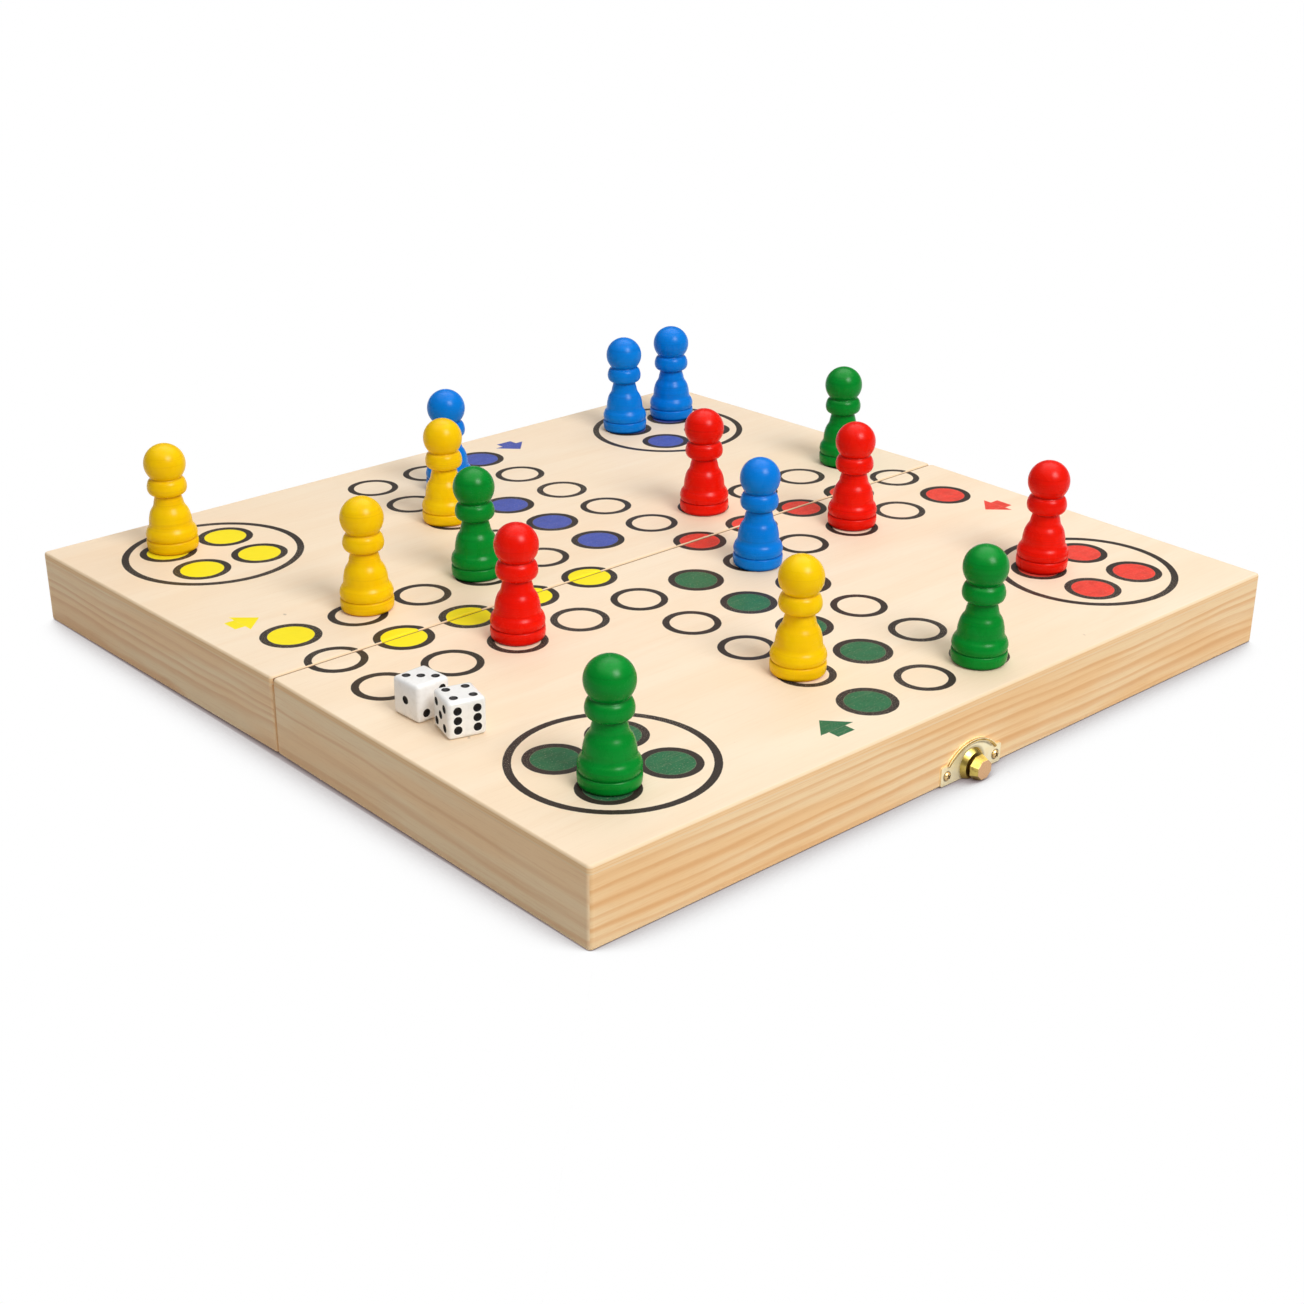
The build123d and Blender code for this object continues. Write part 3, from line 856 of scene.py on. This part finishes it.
def hand_over(piece: bpy.types.Object, body: str, slot: Slot, *nodes: str) -> None:
    """Attaches a new piece to the body it rides on, and hides the nodes whose place it takes.

    Args:
        piece: The new piece.
        body: The body that it moves with.
        slot: Not used.
        *nodes: The nodes whose place it takes, if any.
    """
    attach(piece, body)
    if nodes:
        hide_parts(*nodes)
    log.info("%s rides on %s for %s", piece.name, body, ", ".join(nodes) or "itself")


def turned(name: str, profile: Sequence[tuple[float, float]], sides: int) -> bpy.types.Object:
    """Turns a solid on the lathe: a disc, extruded and resized from station to station.

    Args:
        name: The piece's name.
        profile: Radius and height of each station, from the foot up, in millimetres.
        sides: How many sides each station has.

    Returns:
        The turned solid, its axis upright.
    """
    deselect()
    radius, height = profile[0]
    bpy.ops.mesh.primitive_circle_add(
        vertices=sides, radius=radius, fill_type="NGON", location=(0, 0, height)
    )
    piece = named(name)
    open_mesh()
    for next_radius, next_height in profile[1:]:
        climb = {"value": (0, 0, next_height - height)}
        bpy.ops.mesh.extrude_region_move(TRANSFORM_OT_translate=climb)
        grow = next_radius / radius
        bpy.ops.transform.resize(value=(grow, grow, 1), center_override=(0, 0, next_height))
        radius, height = next_radius, next_height
    bpy.ops.mesh.select_all(action="SELECT")
    bpy.ops.mesh.normals_make_consistent(inside=False)
    smooth(piece, 35)
    return piece


def arc(
    start: tuple[float, float], middle: tuple[float, float], end: tuple[float, float], steps: int
) -> list[tuple[float, float]]:
    """Goes along the arc through three points.

    Args:
        start: The arc's first point, left out of the result.
        middle: A point on the way.
        end: Its last point.
        steps: How many points to give.

    Returns:
        The points after the first.
    """
    (ax, ay), (bx, by), (cx, cy) = start, middle, end
    twice = 2 * (ax * (by - cy) + bx * (cy - ay) + cx * (ay - by))
    a2, b2, c2 = ax * ax + ay * ay, bx * bx + by * by, cx * cx + cy * cy
    ox = (a2 * (by - cy) + b2 * (cy - ay) + c2 * (ay - by)) / twice
    oy = (a2 * (cx - bx) + b2 * (ax - cx) + c2 * (bx - ax)) / twice
    radius, turn = math.hypot(ax - ox, ay - oy), math.atan2(ay - oy, ax - ox)
    sweep = (math.atan2(cy - oy, cx - ox) - turn + math.pi) % (2 * math.pi) - math.pi
    turns = [turn + sweep * step / steps for step in range(1, steps + 1)]
    return [(ox + radius * math.cos(t), oy + radius * math.sin(t)) for t in turns]


def cut(piece: bpy.types.Object, tool: bpy.types.Object) -> None:
    """Cuts a tool's shape out of a piece and removes the tool.

    Args:
        piece: The piece.
        tool: The shape to take away, whose material goes on the cut faces.
    """
    pick(piece)
    modifier = piece.modifiers.new("cut", "BOOLEAN")
    modifier.operation = "DIFFERENCE"
    modifier.solver = "EXACT"
    modifier.object = tool
    modifier.material_mode = "TRANSFER"
    bpy.ops.object.modifier_apply(modifier=modifier.name)
    bpy.data.objects.remove(tool)


def joined(pieces: Iterable[bpy.types.Object], name: str) -> bpy.types.Object:
    """Joins pieces into one.

    Args:
        pieces: The pieces.
        name: The joined piece's name.

    Returns:
        The joined piece.
    """
    pick(*pieces)
    bpy.ops.object.join()
    return named(name)


def facing(x: Vector, y: Vector, z: Vector) -> Matrix:
    """Gives the turn that points a piece's own X, Y and Z these ways."""
    return Matrix((x, y, z)).transposed().to_4x4()


def lift_axis(node: str) -> Vector:
    """Gives the way straight up off the board at a pawn or die."""
    axis = next(joint["axis"] for joint in frame["joints"] if joint["name"] == f"lift_{node}")
    return Vector(axis).normalized()


# ------------------------------------------------------------------------------ the box
@dataclass
class Box:
    """The panels and the rails of both halves."""

    # Paler, greyer colours for the rails on the left: painted light that lifts and cools their
    # shade.
    left_shade_lift = dict(pale=tint(255, 227, 186), peach=tint(255, 218, 172), latewood=tint(232, 181, 130))
    along = dict(grain=Grain.ALONG_HINGE)
    across = dict(grain=Grain.ACROSS_HINGE)
    rails = {
        "near_outer_rail": dict(along, seed=3.1, heart_height=-52.0, ring_pitch=3.5),
        "near_spine_rail": dict(along, seed=8.4, ring_pitch=3.6),
        "near_left_rail": dict(
            across, seed=5.7, ring_pitch=7.5, streak=0.6, streak_start=0.5, **left_shade_lift
        ),
        "near_right_rail": dict(across, seed=12.9, ring_pitch=3.9),
        "far_outer_rail": dict(along, seed=17.3, ring_pitch=3.4),
        "far_spine_rail": dict(along, seed=21.6, ring_pitch=4.6),
        "far_left_rail": dict(
            across, seed=26.2, ring_pitch=2.1, streak=0.7, heart_height=-2.0, heart_depth=165.0,
            **left_shade_lift,
        ),
        "far_right_rail": dict(across, seed=31.8, ring_pitch=3.2),
    }

    def build(self) -> None:
        """Finishes the panels and the rails."""
        nodes, ply = frame["nodes"], PrintedPly().material()
        for side in ("near", "far"):
            coat(nodes[f"{side}_panel"], ply)
            for name, cutting in self.rails.items():
                if name.startswith(side):
                    coat(nodes[name], Pine(name=f"pine_{name}", **cutting).material())
            log.info("%s half dressed", side)


@dataclass
class Hardware:
    """The hinges and the catch."""

    plated = (
        "left_hinge_near_leaf", "left_hinge_far_leaf", "left_hinge_pin",
        "right_hinge_near_leaf", "right_hinge_far_leaf", "right_hinge_pin",
        "near_hinge_screws", "far_hinge_screws", "catch_hook", "hook_rivet",
    )
    plate_brass = PlateBrass(
        "plate_brass", tint(255, 243, 204), tint(252, 230, 178), roughness=0.34, metal=0.55
    )
    bead_brass = Brass("bead_brass", tint(214, 178, 98), tint(126, 84, 32))
    knob_brass = KnobBrass("knob_brass", tint(218, 194, 104), tint(166, 138, 60))
    nail_brass = Brass("nail_brass", tint(238, 206, 146), tint(206, 164, 104), roughness=0.34)
    # The dark brass of the nails' stamped crosses: tarnish, and painted shade in the recess.
    dent_brass = Brass("dent_tarnish_and_shade", tint(84, 56, 26), tint(56, 34, 14), roughness=0.5)

    bead_radius: float = 0.5
    bead_path: float = 13.535
    bead_out: float = 0.7
    bead_half_angle: float = math.radians(50.4)
    plate_thickness: float = 0.6
    head_radius: float = 1.3
    head_height: float = 0.75
    head_rim: float = 0.18
    shank_radius: float = 0.5
    shank_length: float = 6.0
    dent_size: tuple[float, float, float] = (1.7, 0.42, 0.8)
    dent_turn: float = 0.5

    def wall(self, side: str, across: float, height: float, out: float) -> Matrix:
        """Gives a place on a half's outer wall.

        Args:
            side: The half, near or far.
            across: Along the wall, in millimetres.
            height: Above the rim, in millimetres.
            out: Past the wall's face, in millimetres.

        Returns:
            The place in metres, its Z pointing out of the wall and its X along the wall.
        """
        way = 1 if side == "far" else -1
        lean, rise = math.cos(TENT_ANGLE), math.sin(TENT_ANGLE)
        outward, upward = Vector((0, way * lean, -rise)), Vector((0, way * rise, lean))
        spot = Vector((0, 0, KNUCKLE_RADIUS)) + outward * (HALF_WIDTH + out) + upward * height
        spot.x = across
        return Matrix.Translation(spot * MM) @ facing(upward.cross(outward), upward, outward)

    def bead(self) -> bpy.types.Object:
        """Rolls the round bead that runs along the plate's arch.

        Returns:
            The bead, its arch about the origin and standing up along Y.
        """
        start = math.pi / 2 + self.bead_half_angle
        deselect()
        bpy.ops.mesh.primitive_circle_add(
            vertices=16,
            radius=self.bead_radius,
            fill_type="NGON",
            location=(self.bead_path * math.cos(start), self.bead_path * math.sin(start), 0),
            rotation=(math.pi / 2, 0, start),
        )
        bead = named("bead_pattern")
        open_mesh()
        bpy.ops.mesh.spin(
            steps=40, angle=2 * self.bead_half_angle, center=(0, 0, 0), axis=(0, 0, 1)
        )
        bpy.ops.mesh.select_all(action="SELECT")
        bpy.ops.mesh.remove_doubles(threshold=0.001)
        bpy.ops.mesh.normals_make_consistent(inside=False)
        smooth(bead, 40)
        return bead

    def nail(self) -> bpy.types.Object:
        """Models a domed nail with a stamped cross in its head.

        Returns:
            The nail, its head's underside at the origin and its head up.
        """
        rim = (self.head_radius, self.head_rim)
        shoulder = (self.head_radius * 0.72, self.head_height * 0.82)
        profile = [(0.1, -self.shank_length), (self.shank_radius, 1.2 - self.shank_length)]
        profile += [(self.shank_radius, -0.01), (self.head_radius, 0.0), rim]
        profile += arc(rim, shoulder, (0.12, self.head_height), 8)
        nail = turned("nail_pattern", profile, 32)
        tarnish_and_shade = self.dent_brass.material()
        # The stamped cross is coloured dark: tarnish, and painted shade in its recess.
        for turn in (self.dent_turn, self.dent_turn + math.pi / 2):
            deselect()
            bpy.ops.mesh.primitive_cube_add(size=1, location=(0, 0, self.head_height + 0.05))
            bpy.context.object.scale = self.dent_size
            bpy.context.object.rotation_euler.z = turn
            bar = named("dent")
            coat(bar, tarnish_and_shade)
            cut(nail, bar)
        smooth(nail, 35)
        coat(nail, self.nail_brass.material(), tarnish_and_shade)
        return nail

    def build(self) -> None:
        """Finishes the hinges and the catch, and adds the beads and the nails."""
        nodes = frame["nodes"]
        brass, plate_brass = Brass().material(), self.plate_brass.material()
        for name in self.plated:
            coat(nodes[name], brass)
        coat(nodes["catch_knob"], self.knob_brass.material())
        bead, nail = self.bead(), self.nail()
        coat(bead, self.bead_brass.material())
        for side in ("near", "far"):
            coat(nodes[f"{side}_catch_plate"], plate_brass)
            arch = self.wall(side, 0, ARCH_CENTRE, self.bead_out)
            hand_over(copied(bead, f"{side}_plate_bead", arch), f"{side}_half", Slot.BRASS)
            spots = [
                self.wall(side, across, NAIL_HEIGHT, self.plate_thickness)
                for across in (-NAIL_ACROSS, NAIL_ACROSS)
            ]
            pair = [copied(nail, f"{side}_nail", spot) for spot in spots]
            nails = joined(pair, f"{side}_domed_nails")
            hand_over(nails, f"{side}_half", Slot.BRASS, f"{side}_catch_nails")
        for pattern in (bead, nail):
            bpy.data.objects.remove(pattern)


# ------------------------------------------------------------------------------ pawns
@dataclass
class PawnSet:
    """Sixteen turned pawns, four of each player."""

    height: float = 37.0
    head_radius: float = 6.85
    head_steps: int = 24
    head_end: float = math.radians(85)
    crown_flatness: float = 0.99
    sides: int = 72

    foot = ((0.7, 0.5), (1.1, 0.02), (1.3, 0.0), (7.5, 0.0))
    # From the foot to the neck: a point on the way along each arc, its end, and its steps.
    arcs = (
        ((8.12, 0.42), (8.38, 1.3), 7), ((8.52, 2.5), (8.46, 3.65), 5),
        ((8.36, 3.92), (8.04, 4.12), 3), ((8.0, 4.26), (8.14, 4.4), 3),
        ((8.46, 5.5), (8.3, 6.75), 8), ((8.04, 7.45), (7.62, 8.1), 6),
        ((7.24, 8.8), (7.06, 9.7), 6), ((6.95, 11.0), (6.7, 12.2), 5),
        ((6.32, 13.5), (5.55, 14.85), 8), ((5.1, 15.75), (4.86, 16.9), 6),
        ((4.54, 18.1), (4.3, 19.2), 4), ((4.34, 19.42), (4.6, 19.52), 3),
        ((5.7, 19.95), (6.34, 20.9), 6), ((6.52, 22.2), (6.26, 23.6), 7),
        ((5.9, 24.45), (5.36, 25.05), 5), ((5.14, 25.28), (5.12, 25.6), 3),
    )
    # The lathe's dent in the crown: radius, and height from the crown's last station.
    dent = ((0.5, 0.01), (0.38, -0.07), (0.25, -0.15))
    # Each player's slot, then the paint's colour, its deep tone, also used for painted shade, and
    # its light tone.
    paints = {
        "yellow": (Slot.YELLOW, tint(250, 200, 0), tint(196, 128, 0), tint(254, 214, 0)),
        "green": (Slot.GREEN, tint(0, 134, 40), tint(0, 66, 16), tint(0, 146, 50)),
        "red": (Slot.RED, tint(238, 18, 0), tint(136, 2, 0), tint(246, 28, 4)),
        "blue": (Slot.BLUE, tint(0, 124, 224), tint(0, 58, 136), tint(2, 134, 234)),
    }
    # Hand-turned pawns differ a little in girth.
    girths = {
        "green_pawn_4": 1.035, "yellow_pawn_1": 1.02, "blue_pawn_2": 0.97, "red_pawn_1": 1.01,
        "green_pawn_1": 0.99, "blue_pawn_4": 1.015, "yellow_pawn_3": 0.985,
    }

    def profile(self) -> list[tuple[float, float]]:
        """Sets out the turned outline.

        Returns:
            Radius and height of each station, from the dent in the foot to the one in the head.
        """
        stations, start = list(self.foot), self.foot[-1]
        for middle, end, steps in self.arcs:
            stations += arc(start, middle, end, steps)
            start = end
        centre = self.height - self.head_radius
        low = math.asin((start[1] - centre) / self.head_radius)
        for step in range(1, self.head_steps + 1):
            turn = low + (self.head_end - low) * step / self.head_steps
            rise = math.sin(turn) * (self.crown_flatness if turn > 0 else 1.0)
            stations.append((self.head_radius * math.cos(turn), centre + self.head_radius * rise))
        crown = stations[-1][1]
        return stations + [(radius, crown + height) for radius, height in self.dent]

    def stand(self, node: str) -> Matrix:
        """Finds where a node's pawn stands.

        Args:
            node: The node.

        Returns:
            The place of the middle of its foot, its Z along the pawn's axis.
        """
        axis, side = lift_axis(node), Vector((1, 0, 0))
        points = [Vector(v.co) for v in frame["nodes"][node].data.vertices]
        lowest = min(point.dot(axis) for point in points)
        foot = [point for point in points if point.dot(axis) < lowest + 0.05 * MM]
        low, high = (Vector([end(values) for values in zip(*foot)]) for end in (min, max))
        return Matrix.Translation((low + high) / 2) @ facing(side, axis.cross(side), axis)

    def build(self) -> None:
        """Turns one pawn, copies it to the sixteen places and paints the copies."""
        pattern = turned("pawn_pattern", self.profile(), self.sides)
        for player, (slot, *colours) in self.paints.items():
            paint = TurnedPaint(f"paint_{player}", *colours).material()
            for number in range(1, 5):
                node = f"{player}_pawn_{number}"
                girth = self.girths.get(node, 1.0)
                spot = self.stand(node) @ Matrix.Diagonal((girth, girth, 1.0, 1.0))
                pawn = copied(pattern, f"{node}_turned", spot)
                coat(pawn, paint)
                hand_over(pawn, node, slot, node)
        bpy.data.objects.remove(pattern)


# ------------------------------------------------------------------------------ dice
@dataclass
class DicePair:
    """The two dice, each a rounded cube with sunk pips."""

    size: float = 11.5
    rounding: float = 1.3
    pip_radius: float = 1.26
    pip_depth: float = 0.45
    pip_pitch: float = 2.9

    layouts = {
        1: ((0, 0),),
        2: ((-1, -1), (1, 1)),
        3: ((-1, -1), (0, 0), (1, 1)),
        4: ((-1, -1), (1, 1), (-1, 1), (1, -1)),
        5: ((-1, -1), (1, 1), (-1, 1), (1, -1), (0, 0)),
        6: ((-1, -1), (1, 1), (-1, 1), (1, -1), (-1, 0), (1, 0)),
    }
    # Turn about the upright in degrees, and the numbers on top, on the left and in front.
    lies = {"die_1": (2.4, (3, 1, 2)), "die_2": (-15.2, (4, 5, 6))}

    def faces(self, numbers: tuple[int, int, int]) -> dict[int, tuple[Vector, Vector]]:
        """Gives the way each number faces and the way its pips are turned.

        Args:
            numbers: The numbers on top, on the left and in front.

        Returns:
            The two directions by number.
        """
        across, ahead, up = Vector((1, 0, 0)), Vector((0, 1, 0)), Vector((0, 0, 1))
        top, left, front = numbers
        return {
            top: (up, ahead), left: (-across, up), front: (-ahead, across),
            7 - top: (-up, across), 7 - left: (across, up), 7 - front: (ahead, across),
        }

    def pips(self, numbers: tuple[int, int, int], ink: bpy.types.Material) -> bpy.types.Object:
        """Models the round cutters of all the pips.

        Args:
            numbers: The numbers on top, on the left and in front.
            ink: The pips' finish.

        Returns:
            The cutters, joined.
        """
        ball = (self.pip_radius**2 + self.pip_depth**2) / (2 * self.pip_depth)
        cutters = []
        for number, (outward, upright) in self.faces(numbers).items():
            for u, v in self.layouts[number]:
                spot = outward * (self.size / 2 + ball - self.pip_depth)
                spot += (upright * u + outward.cross(upright) * v) * self.pip_pitch
                deselect()
                bpy.ops.mesh.primitive_ico_sphere_add(subdivisions=4, radius=ball, location=spot)
                cutters.append(bpy.context.object)
                coat(cutters[-1], ink)
        return joined(cutters, "pips")

    def build(self) -> None:
        """Models both dice at their places."""
        plastic, ink = DicePlastic().material(), PipInk().material()
        for node, (turn, numbers) in self.lies.items():
            deselect()
            bpy.ops.mesh.primitive_cube_add(size=self.size)
            die = named(f"{node}_sunk_pips")
            coat(die, plastic)
            open_mesh()
            bpy.ops.mesh.bevel(offset=self.rounding, segments=5, affect="EDGES")
            cut(die, self.pips(numbers, ink))
            smooth(die, 25)
            lowest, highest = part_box(node)
            axis = lift_axis(node)
            side = (Vector((1, 0, 0)) - axis * axis.x).normalized()
            turning = Matrix.Rotation(math.radians(turn), 4, "Z")
            upright = facing(side, axis.cross(side), axis)
            settle(die, Matrix.Translation((lowest + highest) / 2) @ upright @ turning)
            hand_over(die, node, Slot.DICE, node)


# ------------------------------------------------------------------------------ studio
@dataclass(frozen=True)
class Softbox:
    """A square lamp with a white front, out of the camera's sight."""

    name: str
    place: tuple[float, float, float]
    width: float
    power: float
    mirrored: bool = True
    lighting: bool = True

    def build(self) -> None:
        """Hangs the lamp, facing the middle of the board."""
        deselect()
        bpy.ops.object.light_add(type="AREA", location=self.place)
        lamp = bpy.context.object
        lamp.name = self.name
        lamp.data.shape = "SQUARE"
        lamp.data.size = self.width
        lamp.data.energy = self.power
        lamp.visible_camera = False
        lamp.visible_glossy = self.mirrored
        lamp.visible_diffuse = self.lighting
        aim = Vector((0, 0, 0.02)) - Vector(self.place)
        lamp.rotation_euler = aim.to_track_quat("-Z", "Y").to_euler()


@dataclass
class Studio:
    """The floor, the soft lights and the camera."""

    floor_width: float = 8.0
    floor_colour: Colour = (0.5, 0.5, 0.5)
    shadow_reach: float = 0.05
    shadow_core: float = 0.36
    shadow_edge: float = 0.70
    shadow_colour: Colour = tint(158, 147, 147)
    crack_colour: Colour = tint(62, 42, 30)
    sky: float = 0.38
    gleam: float = 0.22
    crown_gleam: float = 4.0
    floor_gleam: float = 1.0
    softboxes: tuple[Softbox, ...] = (
        Softbox("key_softbox", (-0.05, -1.34, 1.42), 0.85, 23.0),
        Softbox("gleam_softbox", (-0.05, -1.32, 1.40), 0.55, 14.0, lighting=False),
        Softbox("overhead_softbox", (0.55, 0.32, 1.50), 1.3, 7.8),
        Softbox("under_softbox", (0, 0, -0.7), 0.24, 2.4, mirrored=False),
    )
    camera_place: tuple[float, float, float] = (-0.42554, -0.48070, 0.27685)
    camera_turn: tuple[float, float, float] = (66.0456, 0.0524, -41.7979)
    lens: float = 56.85

    def floor(self) -> None:
        """Lays the floor.

        To the camera it is as white as the backdrop, with the shadow that gathers round what
        stands on it. To the light it is a pale matt floor that throws some of it back. From
        below it is clear, so a half that is folded down past it still shows.
        """
        deselect()
        bpy.ops.mesh.primitive_plane_add(size=self.floor_width, location=(0, 0, 0))
        floor = named("floor")
        book = opened("pale_floor")
        back = book.number("ShaderNodeNewGeometry", {}, {}, "Backfacing")
        reach = {"Distance": self.shadow_reach}
        openness = book.number("ShaderNodeAmbientOcclusion", {"samples": 24}, reach, "AO")
        crack = book.mixed(openness.rise(0.08, 0.36), self.crack_colour, self.shadow_colour)
        wide = openness.rise(self.shadow_core, self.shadow_edge).larger(back)
        clear = book.node("ShaderNodeBsdfTransparent", {}, {0: book.mixed(wide, crack, WHITE)})
        plain = book.node("ShaderNodeBsdfTransparent", {}, {0: WHITE})
        matt = book.node("ShaderNodeBsdfDiffuse", {}, {0: self.floor_colour})
        let_through = book.ray("Shadow").larger(back)
        seen = book.ray("Camera").larger(book.ray("Glossy"))
        lit = book.blended(let_through, matt, plain)
        book.node("ShaderNodeOutputMaterial", {}, {0: book.blended(seen, lit, clear).outputs[0]})
        coat(floor, book.owner)

    def sky_light(self) -> None:
        """Lights the scene from above all round, and gives the camera a white background."""
        bpy.context.scene.world = bpy.data.worlds.new("studio")
        book = NodeBook(bpy.context.scene.world)
        mirrored = book.ray("Glossy")
        way = book.node("ShaderNodeTexCoord").outputs["Generated"]
        upward = book.number("ShaderNodeSeparateXYZ", {}, {0: way}, "Z")
        above = upward.rise(-0.02, 0.02)
        crown = upward.rise(0.6, 0.95) * self.crown_gleam
        strength = above * (mirrored * (crown + self.gleam - self.sky) + self.sky)
        strength = strength + (1 - above) * mirrored * self.floor_gleam
        strength = strength.larger(book.ray("Camera"))
        back = book.node("ShaderNodeBackground", {}, {0: WHITE, 1: strength})
        book.node("ShaderNodeOutputWorld", {}, {0: back.outputs[0]})

    def camera(self) -> None:
        """Puts the camera at the photograph's viewing angle."""
        deselect()
        turn = tuple(math.radians(angle) for angle in self.camera_turn)
        bpy.ops.object.camera_add(location=self.camera_place, rotation=turn)
        camera = bpy.context.object
        camera.name = "camera"
        camera.data.sensor_fit = "HORIZONTAL"
        camera.data.sensor_width = 36.0
        camera.data.lens = self.lens
        camera.data.clip_start = 0.01
        bpy.context.scene.camera = camera

    def build(self) -> None:
        """Sets up the studio."""
        bpy.context.scene.view_settings.view_transform = "Standard"
        self.floor()
        self.sky_light()
        for softbox in self.softboxes:
            softbox.build()
        self.camera()


def main() -> None:
    """Builds everything in order."""
    logging.basicConfig(level=logging.INFO, format="%(name)s: %(message)s")
    for section in (Studio(), Box(), Hardware(), PawnSet(), DicePair()):
        section.build()
    deselect()
    log.info("sizes written")


if __name__ == "__main__":
    main()
